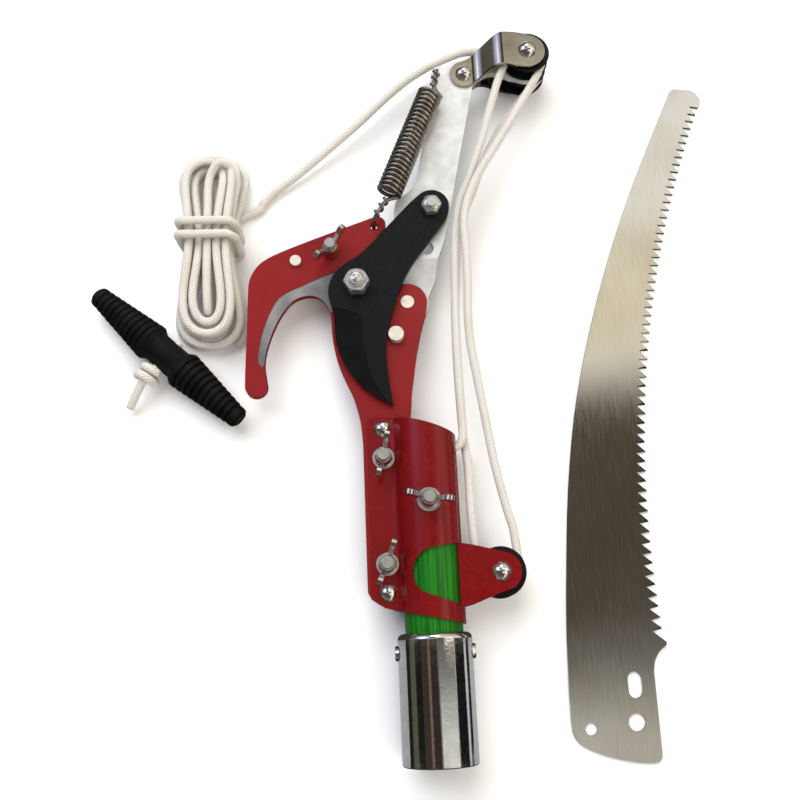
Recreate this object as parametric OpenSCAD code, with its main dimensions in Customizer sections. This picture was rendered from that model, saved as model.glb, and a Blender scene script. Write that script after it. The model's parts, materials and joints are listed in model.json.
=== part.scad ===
// Pole pruner head with its reeved rope, hank, pull handle and loose saw blade.
// X is to the right, Y runs up the pole towards the head, Z is up from the table.
// The origin is the centre of the pole socket's mouth. All sizes are in millimetres.

/* [Pole socket] */
// outer diameter of the chrome ferrule
ferrule_d = 32; // [28:0.5:40]
// bore of the ferrule, which takes the pole
socket_d = 29; // [25:0.5:36]
// length of the ferrule
ferrule_l = 53; // [40:1:80]
// depth of the socket up to the stub's plug
socket_depth = 35; // [20:1:45]
// diameter of the green stub
stub_d = 25; // [20:0.5:30]

/* [Clamp sleeve] */
// thickness of the formed sheet
sheet_t = 1.3; // [1:0.1:2]
// width of the sleeve's flange, from the pole axis to its free edge
flange_w = 26; // [22:1:32]
// height of the ears' inner faces over the middle plane
ear_gap = 5.5; // [5:0.1:7]

/* [Hook and blade] */
// thickness of the hook plate
plate_t = 4; // [3:0.1:5]
// thickness of the cutting blade
blade_t = 3.1; // [2:0.1:4]
// thickness of the washer under the blade
washer_t = 1; // [0.6:0.1:1.5]
// depth of the hollow ground into the blade's face
grind_t = 0.3; // [0.2:0.1:0.6]
// depth of the ground land along the hook's mouth
land_t = 0.4; // [0.2:0.1:0.8]
// diameter of the pivot bolt
pivot_d = 8; // [5:0.5:9]

/* [Lever] */
// thickness of the lever
lever_t = 3.5; // [3:0.1:5]
// largest swing of the lever in degrees
lever_swing = 70; // [40:1:72]
// turn of the blade for each degree of the lever
blade_ratio = 0.8; // [0.7:0.01:0.9]
// diameter of the link bolt's shoulder
link_d = 6.2; // [5:0.1:7]

/* [Pulleys] */
// diameter over a top sheave's rims
sheave_d = 22.6; // [20:0.2:28]
// diameter over the lower pulley's rims
pulley_d = 22; // [18:0.5:28]
// diameter at the bottom of the groove
groove_d = 13; // [10:0.5:16]
// length of a top sheave along its axle
sheave_w = 9; // [7:0.1:10]
// thickness of the cheek plates
cheek_t = 1.5; // [1:0.1:2]
// diameter of the axles
axle_d = 5; // [4:0.5:6]

/* [Wing nuts] */
// diameter of the clamp bolts
bolt_d = 5; // [4:0.5:6]
// diameter of a wing nut's hub
hub_d = 8.4; // [7:0.2:10]
// span over the wings
wing_span = 21; // [18:0.5:26]
// height of a wing nut
wing_h = 13; // [11:0.5:15]

/* [Spring] */
// wire of the return spring
wire_d = 2; // [1:0.1:2.2]
// outer diameter of the curls
spring_d = 12.8; // [9:0.2:15]
// number of curls
spring_curls = 24; // [16:1:28]

/* [Rope] */
// diameter of the rope
rope_d = 4; // [3:0.1:4.2]
// length of the hank over its loops
hank_l = 106; // [80:1:120]

/* [Handle] */
// length of the pull handle
handle_l = 95; // [80:1:120]
// largest diameter of the handle
handle_d = 18.6; // [15:0.2:22]

/* [Saw] */
// thickness of the saw blade
saw_t = 1.2; // [0.8:0.1:2]
// number of teeth
saw_teeth = 60; // [40:1:70]
// depth of the teeth
tooth_h = 4.6; // [3:0.1:6]

/* [Hidden] */
$fn = 48;

// clearances, used everywhere by name
fit = 0.05;
skin = 0.05;
// heights
table_z = -ferrule_d / 2;
face_z = plate_t / 2;
flange_z = face_z + sheet_t;
blade_z = face_z + washer_t + skin;
blade_top = blade_z + blade_t;
lever_top = face_z;
lever_low = lever_top - lever_t;
drop_top = -face_z - 0.1;
drop_low = drop_top - lever_t;
cheek_z = lever_top + sheave_w + 2 * skin;
cheek_b = lever_low - sheave_w - 2 * skin;
front_mid = lever_top + skin + sheave_w / 2;
back_mid = lever_low - skin - sheave_w / 2;
pulley_w = 2 * (ear_gap - skin);
sleeve_r = stub_d / 2 + fit;
sleeve_o = sleeve_r + sheet_t;
rope_r = rope_d / 2;
rope_skin = 0.25;
run_r = groove_d / 2 + rope_r + rope_skin;
// places on the middle plane
P = [-28.5, 213];
Q = [-5, 204.5];
J = [8.5, 251.5];
E = [60.5, 332.7];
K = [29, 326.6];
W = [30, 77.3];
stop_at = [-11, 187.8];
saw_at = [-40.5, 232];
pin_at = [-57.5, 227.5];
clamp_at = [[-19, 129.5], [-19, 82.5]];
rivet_at = [[-19, 143], [-19, 70.3]];
pole_y = 108.5;
lip_t = 4;
button_y = ferrule_l - 8;
seat_r = socket_d / 2 - 0.4;
tie_y = 134;
stub_y = tie_y - 7;
spring_low = [-19.5, 244.5];
spring_high = [15.5, 327.5];

function unit(v) = v / norm(v);
function turn(v, a) = [v.x * cos(a) - v.y * sin(a), v.x * sin(a) + v.y * cos(a)];
function ease(t) = let (u = min(1, max(0, t))) u * u * (3 - 2 * u);
function mix(a, b, t) = a + (b - a) * t;
function at(p, i) = p[min(len(p) - 1, max(0, i))];
function knot4(a, b, c, d, t) =
  0.5 * (2 * b + (c - a) * t + (2 * a - 5 * b + 4 * c - d) * t * t + (3 * b - a - 3 * c + d) * t * t * t);
// a smooth run through the points, with n steps between two of them
function smooth(p, n) = concat(
  [for (i = [0:len(p) - 2]) for (k = [0:n - 1]) knot4(at(p, i - 1), p[i], p[i + 1], at(p, i + 2), k / n)],
  [p[len(p) - 1]]);
function arc(c, r, a0, a1, n) = [for (k = [0:n]) c + r * [cos(mix(a0, a1, k / n)), sin(mix(a0, a1, k / n))]];
function flip(p) = [for (i = [len(p) - 1:-1:0]) p[i]];

module plate(p, z0, z1) {
  translate([0, 0, z0])
    linear_extrude(height = z1 - z0) polygon(p);
}
module post(c, r, z0, z1) {
  translate([c.x, c.y, z0]) cylinder(r = r, h = z1 - z0);
}
module hole(c, r) {
  post(c, r, -40, 40);
}
module hex(c, af, z0, z1) {
  translate([c.x, c.y, z0]) cylinder(d = af / cos(30), h = z1 - z0, $fn = 6);
}
// a rivet's or a screw's rounded head, standing on z0
module dome(c, r, h, z0) {
  big = (r * r + h * h) / (2 * h);
  translate([c.x, c.y, z0]) rotate_extrude()
    polygon(concat([[0, 0]],
      [for (k = [0:8]) let (a = asin(r / big) * (1 - k / 8)) [big * sin(a), big * cos(a) - big + h]]));
}

// rings of a tube: centres, and a direction that none of its runs is parallel to
function ways(c) = [for (i = [0:len(c) - 1]) unit(at(c, i + 1) - at(c, i - 1))];
function ring(o, t, up, r, n) = let (s = unit(cross(up, t)), w = cross(t, s))
  [for (k = [0:n - 1]) o + r * (cos(360 * k / n) * s + sin(360 * k / n) * w)];
module tube(c, r, n, up) {
  m = len(c);
  t = ways(c);
  pts = [for (i = [0:m - 1]) each ring(c[i], t[i], up, r, n)];
  sides = [for (i = [0:m - 2]) for (k = [0:n - 1]) let (l = (k + 1) % n)
    each [[i * n + k, (i + 1) * n + l, i * n + l], [i * n + k, (i + 1) * n + k, (i + 1) * n + l]]];
  ends = [for (k = [1:n - 2]) each [[0, k, k + 1], [(m - 1) * n, (m - 1) * n + k + 1, (m - 1) * n + k]]];
  polyhedron(points = pts, faces = concat(sides, ends));
}
// the least gap of a tube to itself, over points more than s rings apart
function self_gap(c, d, s) =
  min([for (i = [0:len(c) - 1 - s]) for (j = [i + s:len(c) - 1]) norm(c[i] - c[j])]) - d;
function total(v, i = 0) = i < len(v) ? v[i] + total(v, i + 1) : 0;
function run_length(c) = total([for (i = [0:len(c) - 2]) norm(c[i + 1] - c[i])]);

// outlines
hook_outer = smooth([[-20, 249], [-35, 243.6], [-50, 238.2], [-62, 233.6], [-70, 230], [-75, 226.5],
  [-78.4, 221.6], [-80, 216], [-80.4, 205], [-80.8, 190], [-81.3, 176], [-81.5, 166]], 4);
hook_inner = smooth([[-71.1, 166], [-71.8, 171], [-72.4, 176], [-71.8, 182], [-70, 188.5], [-67.5, 195],
  [-64, 201.5],
  [-60, 206.5], [-56, 209], [-51.5, 209.8], [-47.5, 209], [-44.5, 206.8], [-42.3, 203], [-41.2, 198],
  [-40.8, 190],
  [-40, 183], [-38.4, 176], [-35.5, 168], [-32, 160], [-29.8, 152], [-28.6, 145], [-28, 136]], 4);
hook_right = smooth([[-6, 130], [-6, 147], [-5.5, 152], [-4.8, 160], [-3.5, 168], [-2, 177], [-0.5, 184],
  [1.2, 191], [3.4, 198]], 4);
hook_line = concat(hook_outer, arc([-76.3, 166], 5.2, 190, 350, 12), hook_inner,
  [[-28, 71], [-26.5, 68], [-22, 65], [-15.5, 63.6], [-15.5, 130]], hook_right, arc(Q, 9.3, -12, 150, 14),
  [[-20, 214], [-20, 236]], arc([-17.8, 245.4], 4, -55, 100, 10));
land_line = flip(concat(
  smooth([[-73.4, 175], [-75.4, 178], [-75, 184], [-73.4, 192], [-70.6, 200], [-66.5, 208], [-62, 211.6],
    [-56, 214.3], [-48, 217.8], [-40, 221]], 4),
  [[-36, 222], [-36, 203]],
  [[-44, 200], [-46, 204.6], [-49, 206.8], [-52, 207.4], [-56, 206.6], [-59, 204.6], [-63, 199.6],
    [-66, 194], [-69, 187],
    [-71, 181]]));
blade_line = concat(
  arc([8.7, 252], 8.5, -20, 132, 12),
  smooth([[-2.4, 253.4], [-8, 247.4], [-14, 241], [-20, 234.5], [-25, 229.6], [-28.5, 226.8], [-33, 224],
    [-37, 221], [-40, 217], [-41.8, 212], [-41.8, 207], [-40.4, 202]], 3),
  smooth([[-39.6, 197], [-39.5, 193], [-39.2, 187], [-38, 181], [-35.5, 174.5], [-32, 168.5],
    [-27, 162.4], [-21, 157.6],
    [-16.5, 155], [-13.7, 153.7]], 3),
  smooth([[-14.4, 160], [-15.4, 168], [-15.9, 176], [-15.6, 183], [-14.9, 188], [-14, 192.5],
    [-12.6, 197], [-10.5, 203.6],
    [-8, 210.4], [-5.5, 215.8], [-2, 221.8], [3, 229], [9, 236.6], [14, 243], [16, 246.6]], 3));
grind_line = concat([[-44, 201.4], [-46, 190], [-44, 170], [-30, 150], [-12, 150]],
  smooth([[-19.6, 160], [-23, 168], [-25.4, 178], [-26.2, 188], [-26.4, 196.6]], 3),
  smooth([[-29, 198.4], [-33, 200], [-37, 201]], 3));
lever_line = concat(
  smooth([[10.6, 226], [12.6, 231], [14.6, 237], [16.6, 244], [18.2, 252], [20.2, 262], [23.9, 279],
    [28.4, 299], [32, 315]], 3),
  smooth([[32.8, 319], [34.4, 322.4], [38, 325.6], [43, 327.4], [48, 326.4], [52, 324.4]], 3),
  arc(E, 10.4, -118, 92, 16),
  smooth([[52, 342], [42, 340], [32, 336.6], [22, 333.6], [14.6, 332]], 3),
  smooth([[12.4, 328], [12, 318], [8.8, 301], [4.6, 280], [2.6, 270], [0, 264], [-4, 260.4], [-8, 257.6],
    [-9.4, 252], [-9.4, 245], [-8, 237], [-6, 231], [-5, 226]], 3));
slot_run = [for (k = [0:14]) let (a = -lever_swing * k / 14) Q + turn(P + turn(J - P,
  blade_ratio * a) - Q, -a)];
slot_way = [for (i = [0:14]) unit(at(slot_run, i + 1) - at(slot_run, i - 1))];
slot_r = link_d / 2 + 0.2;
slot_line = flip(concat(
  [for (i = [0:14]) slot_run[i] + slot_r * [-slot_way[i].y, slot_way[i].x]],
  [for (k = [1:7]) slot_run[14] + turn(slot_r * [-slot_way[14].y, slot_way[14].x], -22.5 * k)],
  [for (i = [14:-1:0]) slot_run[i] - slot_r * [-slot_way[i].y, slot_way[i].x]],
  [for (k = [1:7]) slot_run[0] + turn(-slot_r * [-slot_way[0].y, slot_way[0].x], -22.5 * k)]));
window_line = concat([[16, 91], [12, 90.2]],
  smooth([[11.6, 90.1], [0, 88], [-5, 85.6], [-7.6, 81.4], [-8.2, 77.4], [-7.2, 73.2], [-4.4, 70],
    [1, 67.8], [11.6, 64.2]], 3),
  [[12, 64], [16, 63]]);
ear_line = concat([[11.6, 63.2]], smooth([[13, 63.2], [18, 64.4], [25, 67]], 2), arc(W, 8.7, -55, 62, 14),
  smooth([[25, 87.4], [18, 89.2], [13, 90.2]], 2), [[11.6, 90.2]]);
cheek_line = concat(
  smooth([[33.4, 320.9], [37, 323.5], [42, 325.8], [47, 325.8], [53, 324.2]], 3),
  arc(E - [0.4, 0.6], 9.2, -115, 62, 14),
  smooth([[60.4, 341.8], [55.5, 343.1], [50, 343.7], [46.2, 343.4], [38, 340], [31, 334.9]], 3),
  arc(K, 7.2, 100, 300, 14));
function saw_tip(y) = [101.6 + 0.00093 * (y - 80) * (y - 80), y];
saw_y0 = 50;
saw_y1 = 317;
// the tooth pitch is even along the curved edge
function saw_y(t) = mix(saw_y0, saw_y1, t + 0.09 * t * (1 - t));
function saw_in(y) = let (g = unit([1, -0.00186 * (y - 80)])) -g;
saw_edge = [for (i = [0:saw_teeth - 1]) let (y = saw_y(i / saw_teeth), s = saw_y((i + 0.2) / saw_teeth))
  each [saw_tip(y) + tooth_h * saw_in(y), saw_tip(s)]];
saw_line = concat(
  smooth([[58, 12], [59, 7], [62, 3.4], [68, 0.4], [75, -2], [85, -4.2], [92, -4.8]], 3),
  [[94.4, -4.4], [95.6, -3], [96, -1], [96.2, 20]],
  smooth([[96.3, 33], [97.4, 37.6], [100, 41.4], [102.8, 43.4]], 3),
  [[103.4, 44.2], [103.3, 45.2]],
  saw_edge,
  [[154.2, 318.4], [152.6, 321.8], [150, 324.2], [141, 325.4], [139.2, 324.4]],
  smooth([[130, 305.6], [120, 284.6], [110, 262.6], [100, 238.6], [90, 211.6], [80, 180.6], [72, 149.6],
    [66, 115], [62, 80],
    [59.4, 50], [58.2, 25]], 3));

// routes of the rope
hub_up = [0, 0, 1];
off_a = 80;
function lap(c, z, a0, a1, n) = [for (q = arc(c, run_r, a0, a1, n)) [q.x, q.y, z]];
leg_up = [[sleeve_o + 0.4, tie_y, 0], [17, 137.4, 0.6], [17.4, 146, 1.4], [17, 165, 2.4], [17, 190, 3],
  [18, 215, 3.4], [19.6, 238, 3.8], [22.8, 254.6, 4.2], [27.6, 266, 4.4], [35.2, 287.4, 5], [40, 303, 5.8],
  [45.6, 320, 6.3]];
leg_down = [[64.8, 321, 6.7], [56, 306, 7.5], [44, 286, 8.4], [33.4, 269, 9], [27, 256, 9.2],
  [23.6, 243, 9], [23.6, 228, 8.2], [23.6, 212, 7.2], [22.8, 197, 6.4], [23, 183, 5.8], [24.8, 168, 5],
  [27, 152, 4], [30.4, 127, 2.4], [34, 109, 1], [37.2, 95.5, 0.3]];
leg_back = [[20.2, 86, 0], [19.2, 97, -0.4], [18.9, 110, -1.4], [19.1, 126, -3], [18, 138, -3.9],
  [17.4, 152, -3.6], [17, 171, -2.9], [17.2, 187, -2.6], [17.6, 202, -2.6], [19, 217, -2.8], [20.6, 233, -3.2],
  [24, 249, -3.6], [29.6, 263, -4], [38, 284, -4.8], [49, 304, -5.6], [59, 317.4, -6]];
reeving = concat([[6.6, tie_y, 0], [10.4, tie_y, 0]], smooth(leg_up, 2), lap(E, front_mid, 150, -30, 9),
  smooth(leg_down, 2), lap(W, 0, -4, -176, 8), smooth(leg_back, 2), lap(E, back_mid, -36, off_a, 7));
lead_from = E + run_r * [cos(off_a), sin(off_a)] + skin * [-sin(off_a), cos(off_a)];
lead_pts = [[lead_from.x, lead_from.y, back_mid], [52, 344, back_mid], [45, 345.2, -6],
  [38.2, 345.8, -6], [32, 345.8, -5.9], [25.6, 344.2, -5.9], [12.8, 338.4, -6], [0, 330.2, -6.3],
  [-13, 319.2, -7.1], [-25.8, 307.2, -8.3], [-44.8, 291.4, -10.6], [-57.2, 281.4, -12],
  [-69.8, 272.2, -13.3], [-79, 262.4, table_z + rope_r]];
hank_at = [-99.4, 240];
layer = rope_d + 0.62;
wrap_r = rope_d + 0.7;
lane_w = [4.3, 8.85];
hank_z = table_z + rope_r + wrap_r;
lanes = [1, 1, 0, 0, 0, 1, 1, 1, 0, 0, 0, 1, 1];
floors = [[0, 0], [0, 0], [0, 0], [0, 1], [1, 1], [1, 1], [1, 2], [2, 2], [2, 2], [2, 3], [3, 3], [3, 3],
  [3, 3]];
function lane_at(t) = let (i = min(12, max(0, floor((t - 90) / 180))), j = min(12, i + 1), c = 180 * (i + 1))
  t < 90 ? lanes[0] : mix(lanes[i], lanes[j], ease((t - c + 60) / 120));
function floor_at(t) = let (i = min(12, floor(t / 180))) mix(floors[i][0], floors[i][1],
  ease((t - 180 * i - 30) / 120));
function hank_pt(t) = let (a = t - 90, l = lane_at(t), f = floor_at(t), s = sin(a) * sin(a))
  [hank_at.x + cos(a) * (mix(lane_w[0], lane_w[1], l) + mix(19.6, 27, l) * (1 - 0.16 * f) * s),
    hank_at.y + sin(a) * (hank_l / 2 - rope_r - mix(5.8, 0, l) - 1.5 * f),
    hank_z + layer * f - wrap_r * s * s];
// the rope's last pass, through the middle of the loops: across in mm, along in hank lengths, up in layers
core_line = [[8.6, 0.37, 3.1], [5, 0.37, 3.34], [1.6, 0.33, 3], [0, 0.27, 2.8], [0, 0.155, 2.97], [0, 0, 3],
  [0, -0.155, 2.97], [0, -0.27, 2.6], [0, -0.325, 2.1], [0, -0.335, 1.55], [0, -0.31, 1.05], [0, -0.23, 1.28],
  [0, 0, 2], [0, 0.195, 1.75], [0, 0.27, 1.5]];
hank_run = concat([for (k = [0:159]) hank_pt(20 + k * 2280 / 159)],
  [for (c = core_line) [hank_at.x + c.x, hank_at.y + hank_l * c.y, hank_z + layer * c.z]]);
// the wraps pass round the four outer strands of the waist, from below on the right
wrap_x = lane_w[1] + 0.35;
function wrap_pt(k) =
  let (q = floor(k / 4), a = 270 - 90 * q - 30 * (k % 4), sx = [-1, -1, 1, 1][q % 4],
    sz = [-1, 1, 1, -1][q % 4])
  [hank_at.x + sx * wrap_x + wrap_r * cos(a), 250.6 - 0.44 * k,
    hank_z + layer * (1.5 + 1.5 * sz) + wrap_r * sin(a)];
lead_run = concat(smooth(lead_pts, 2), [for (k = [0:32]) wrap_pt(k)]);
handle_at = [-119.6, 185.2];
handle_a = -43.3;
handle_z = table_z + handle_d / 2;
draw_way = [cos(handle_a - 90), sin(handle_a - 90)];
function by_handle(s, z) = [handle_at.x + s * draw_way.x, handle_at.y + s * draw_way.y, z];
tail_run = smooth([by_handle(-8.6, handle_z), by_handle(-5, handle_z), by_handle(3, handle_z),
  by_handle(11, handle_z),
  by_handle(17, handle_z - 0.4), [-134.4, 167.6, -9], [-138, 162, -12.4]], 2);
// two laps round the rope, hard against the handle
knot_r = rope_d + 0.3;
waist_r = 7.4;
knot_w = waist_r + rope_r - 0.25;
knot_run = [for (k = [0:22]) let (a = 30 + k * 24, w = knot_w + (rope_d + 0.5) * k / 15)
  by_handle(w, handle_z + knot_r * sin(a)) + knot_r * cos(a) * [-draw_way.y, draw_way.x, 0]];

// fixed pieces
module hook_plate() {
  color("firebrick") difference() {
    plate(hook_line, -face_z, face_z);
    plate(land_line, face_z - land_t, face_z + 2);
    hole(P, pivot_d / 2 + fit);
    hole(Q, axle_d / 2 + fit);
    hole(stop_at, 2.5 + fit);
    hole(saw_at, bolt_d / 2 + fit);
    hole(pin_at, 2 + fit);
    hole(spring_low, 1.9);
    for (c = concat(clamp_at, rivet_at)) hole(c, bolt_d / 2 + fit);
  }
}
module clamp_half() {
  difference() {
    union() {
      intersection() {
        difference() {
          translate([0, 40, 0]) rotate([-90, 0, 0]) cylinder(r = sleeve_o, h = 120, $fn = 96);
          translate([0, 30, 0]) rotate([-90, 0, 0]) cylinder(r = sleeve_r, h = 140, $fn = 96);
        }
        plate([[-15, 148.2], [-15, 62.4], [0, 59.2], [15, 55.9], [15, 138.6]], 0, 30);
      }
      plate([[-12.9, 148], [-flange_w + 2.6, 148.6], [-flange_w + 0.8, 147.8], [-flange_w, 146],
        [-flange_w, 70], [-flange_w + 1.4, 67.4], [-21, 64.4], [-12.9, 62]], face_z, flange_z);
    }
    translate([-30, 30, -1]) cube([30, 130, face_z + 1]);
    plate(window_line, 3.6, 30);
    for (c = concat(clamp_at, rivet_at)) hole(c, bolt_d / 2 + fit);
    hole([0, pole_y], bolt_d / 2 + fit);
  }
  difference() {
    plate(ear_line, ear_gap, ear_gap + sheet_t);
    hole(W, axle_d / 2 + fit);
    translate([0, 30, 0]) rotate([-90, 0, 0]) cylinder(r = sleeve_r, h = 140, $fn = 96);
  }
}
module clamp_sleeve() {
  color("darkred") difference() {
    union() {
      clamp_half();
      mirror([0, 0, 1]) clamp_half();
    }
    translate([0, tie_y, 0]) rotate([0, 90, 0]) cylinder(r = rope_r + 0.3, h = 30);
  }
}
module pole_stub() {
  color("green") difference() {
    union() {
      translate([0, socket_depth, 0]) rotate([-90, 0, 0]) cylinder(d = stub_d, h = stub_y - socket_depth);
      translate([0, socket_depth, 0]) rotate([-90, 0, 0])
        cylinder(r = seat_r - fit, h = ferrule_l - socket_depth - lip_t);
    }
    hole([0, pole_y], bolt_d / 2 + fit);
    translate([-30, button_y, 0]) rotate([0, 90, 0]) cylinder(r = 2 + fit, h = 60);
  }
}
module ferrule() {
  r = ferrule_d / 2;
  q = stub_d / 2 + fit;
  color("silver") difference() {
    rotate([-90, 0, 0]) rotate_extrude($fn = 96)
      polygon(concat([[socket_d / 2, 0], [r - 0.5, 0], [r, 0.5]],
        [for (k = [0:6]) [r - 2.6 + 2.6 * cos(15 * k), ferrule_l - 2.6 + 2.6 * sin(15 * k)]],
        [[q, ferrule_l], [q, ferrule_l - lip_t + fit], [seat_r, ferrule_l - lip_t + fit], [seat_r, socket_depth],
          [socket_d / 2, socket_depth]]));
    translate([-30, button_y, 0]) rotate([0, 90, 0]) cylinder(r = 2 + fit, h = 60);
  }
}
module ferrule_rivets() {
  color("silver") for (s = [0, 180]) rotate([0, s, 0]) {
    translate([8, button_y, 0]) rotate([0, 90, 0]) cylinder(r = 2, h = ferrule_d / 2 - 8);
    difference() {
      translate([ferrule_d / 2 - 1, button_y, 0]) rotate([0, 90, 0]) cylinder(r1 = 3.7, r2 = 2.9, h = 2.2);
      translate([0, 30, 0]) rotate([-90, 0, 0]) cylinder(d = ferrule_d, h = 30, $fn = 96);
    }
  }
}
module sleeve_rivets() {
  color("gainsboro") for (c = rivet_at) {
    post(c, bolt_d / 2, -flange_z - 0.1, flange_z + 0.1);
    dome(c, 4.2, 2.7, flange_z);
    mirror([0, 0, 1]) dome(c, 4.2, 2, flange_z);
  }
}
module clamp_bolts() {
  color("gray") for (c = clamp_at) {
    post(c, bolt_d / 2, -flange_z - 0.1, flange_z + 10);
    hex(c, 8, -flange_z - 3.4, -flange_z);
  }
}
module clamp_washers() {
  color("silver") for (c = clamp_at) difference() {
    post(c, 5, flange_z, flange_z + 1);
    hole(c, bolt_d / 2 + fit);
  }
}
module pole_bolt() {
  c = [0, pole_y];
  color("gray") {
    post(c, bolt_d / 2, -sleeve_o - 0.6, sleeve_o + 10);
    difference() {
      post(c, 5.4, table_z + 0.1, -sleeve_o + 1.4);
      translate([0, 30, 0]) rotate([-90, 0, 0]) cylinder(r = sleeve_o, h = 140, $fn = 96);
    }
  }
}
module saddle_washer() {
  c = [0, pole_y];
  color("silver") difference() {
    post(c, 5.2, sleeve_o - 1.6, sleeve_o + 0.9);
    hole(c, bolt_d / 2 + fit);
    translate([0, 30, 0]) rotate([-90, 0, 0]) cylinder(r = sleeve_o, h = 140, $fn = 96);
  }
}
module saw_bolt() {
  color("gray") {
    post(saw_at, bolt_d / 2, -face_z - 0.1, face_z + 10);
    hex(saw_at, 8, -face_z - 3.4, -face_z);
  }
}
module saw_pin() {
  color("gainsboro") {
    post(pin_at, 2, -face_z - 0.1, face_z + 0.1);
    post(pin_at, 2.7, face_z, face_z + 1.6);
    post(pin_at, 2.7, -face_z - 0.8, -face_z);
  }
}
module stop_pin() {
  color("gainsboro") {
    post(stop_at, 2.5, -face_z, face_z + 0.1);
    post(stop_at, 3.6, face_z, blade_top - 0.2);
  }
}
module lever_rivet() {
  color("gainsboro") {
    post(Q, axle_d / 2, drop_low - 0.2, face_z + 0.1);
    post(Q, 3.2, face_z, face_z + 0.7);
    post(Q, 4.2, drop_low - skin - 1.4, drop_low - skin);
  }
}
module pivot_bolt() {
  color("gray") {
    post(P, pivot_d / 2, -face_z - 0.1, blade_top + 6.2);
    dome(P, pivot_d / 2, 1.5, blade_top + 6.1);
    hex(P, 13, -face_z - 4, -face_z);
  }
}
module pivot_washer() {
  color("silver") difference() {
    post(P, 6.4, face_z, face_z + washer_t);
    hole(P, pivot_d / 2 + fit);
  }
}
module pivot_nut() {
  z = blade_top + skin;
  color("silver") difference() {
    intersection() {
      hex(P, 10.8, z, z + 5.6);
      translate([P.x, P.y, z]) cylinder(r1 = 9.8, r2 = 5.2, h = 5.6);
    }
    hole(P, pivot_d / 2 + fit);
  }
}
module pulley_axle() {
  color("gainsboro") {
    post(W, axle_d / 2, -ear_gap - sheet_t - 3.8, ear_gap + sheet_t + 0.1);
    dome(W, 4.4, 2.8, ear_gap + sheet_t);
    difference() {
      hex(W, 8, -ear_gap - sheet_t - 3.4, -ear_gap - sheet_t);
      hole(W, axle_d / 2 - 0.2);
    }
  }
}
module tie_knot() {
  color("ivory") translate([3.5, tie_y, 0]) sphere(r = 4, $fn = 20);
}

// the blade and the pieces that swing with it
module blade() {
  color("black") difference() {
    plate(blade_line, blade_z, blade_top);
    plate(grind_line, blade_top - grind_t, blade_top + 2);
    hole(P, pivot_d / 2 + fit);
    hole(J, bolt_d / 2 + fit);
  }
}
module link_bolt() {
  color("gray") {
    post(J, 4.3, lever_low - skin - 2.6, lever_low - skin);
    post(J, link_d / 2, lever_low - skin - 0.1, blade_z);
    post(J, bolt_d / 2, blade_z - 0.1, blade_top + 5.6);
  }
}
module link_nut() {
  z = blade_top;
  color("silver") difference() {
    intersection() {
      hex(J, 8.6, z, z + 4.8);
      dome(J, 6.4, 6, z - 0.8);
    }
    hole(J, bolt_d / 2 + fit);
  }
}

// the lever and its pulley block
module lever() {
  color("lightgray") difference() {
    union() {
      plate(lever_line, lever_low, lever_top);
      hull() {
        plate([[-5, 226.2], [10.7, 226.2], [10.9, 227.2], [-5.2, 227.2]], lever_low, lever_top);
        plate([[-7.2, 215.2], [8.6, 215.2], [8.8, 216.2], [-6.8, 216.2]], drop_low, drop_top);
      }
      plate(concat([[-7, 216]], [[-10, 213]], arc(Q, 10.3, 150, 375, 18), [[8.7, 216]]), drop_low, drop_top);
    }
    plate(slot_line, -20, 20);
    hole(Q, axle_d / 2 + fit);
    hole(K, axle_d / 2 + fit);
    hole(E, axle_d / 2 + fit);
    hole(spring_high, 1.6);
  }
}
module cheek() {
  rise = cheek_z - lever_top;
  difference() {
    intersection() {
      plate(cheek_line, lever_top, cheek_z + cheek_t);
      rotate([90, 0, 0]) translate([0, 0, -360]) linear_extrude(height = 60)
        polygon([[15, lever_top], [36.4, lever_top], [46.4, cheek_z], [80, cheek_z], [80, cheek_z + cheek_t],
          [45.9, cheek_z + cheek_t], [35.9, lever_top + cheek_t], [15, lever_top + cheek_t]]);
    }
    hole(K, axle_d / 2 + fit);
    hole(E, axle_d / 2 + fit);
  }
}
module front_cheek() {
  color("silver") cheek();
}
module back_cheek() {
  color("silver") difference() {
    translate([0, 0, lever_top + lever_low]) mirror([0, 0, 1]) cheek();
    plate([[34.6, 336.8], [48, 337.8], [50.4, 341], [50.4, 350], [34.6, 350]], -20, lever_low);
  }
}
module cheek_rivet() {
  color("gainsboro") {
    post(K, axle_d / 2, lever_low - cheek_t - 0.1, lever_top + cheek_t + 0.1);
    dome(K, 4.4, 2.6, lever_top + cheek_t);
    translate([0, 0, lever_low - cheek_t]) mirror([0, 0, 1]) dome(K, 4.4, 1.8, 0);
  }
}
module sheave_axle() {
  color("gainsboro") {
    post(E, axle_d / 2, cheek_b - cheek_t - 0.1, cheek_z + cheek_t + 0.1);
    dome(E, 4.6, 2.6, cheek_z + cheek_t);
    translate([0, 0, cheek_b - cheek_t]) mirror([0, 0, 1]) dome(E, 4.6, 1.8, 0);
  }
}
// a grooved pulley, w long over its bosses
module sheave(c, z, w, d) {
  h = w / 2 - 0.5;
  translate([c.x, c.y, z]) rotate_extrude($fn = 72)
    polygon([[axle_d / 2 + fit, -w / 2], [4.6, -w / 2], [4.6, -h], [d / 2 - 0.5, -h],
      [d / 2, -h + 0.5],
      [d / 2, -h + 0.9], [groove_d / 2 + 0.6, -rope_r - 0.1], [groove_d / 2, -1.2],
      [groove_d / 2, 1.2],
      [groove_d / 2 + 0.6, rope_r + 0.1], [d / 2, h - 0.9], [d / 2, h - 0.5],
      [d / 2 - 0.5, h], [4.6, h],
      [4.6, w / 2], [axle_d / 2 + fit, w / 2]]);
}
module front_sheave() {
  color("black") sheave(E, front_mid, sheave_w, sheave_d);
}
module back_sheave() {
  color("black") sheave(E, back_mid, sheave_w, sheave_d);
}
module lower_pulley() {
  color("black") sheave(W, 0, pulley_w, pulley_d);
}

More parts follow.
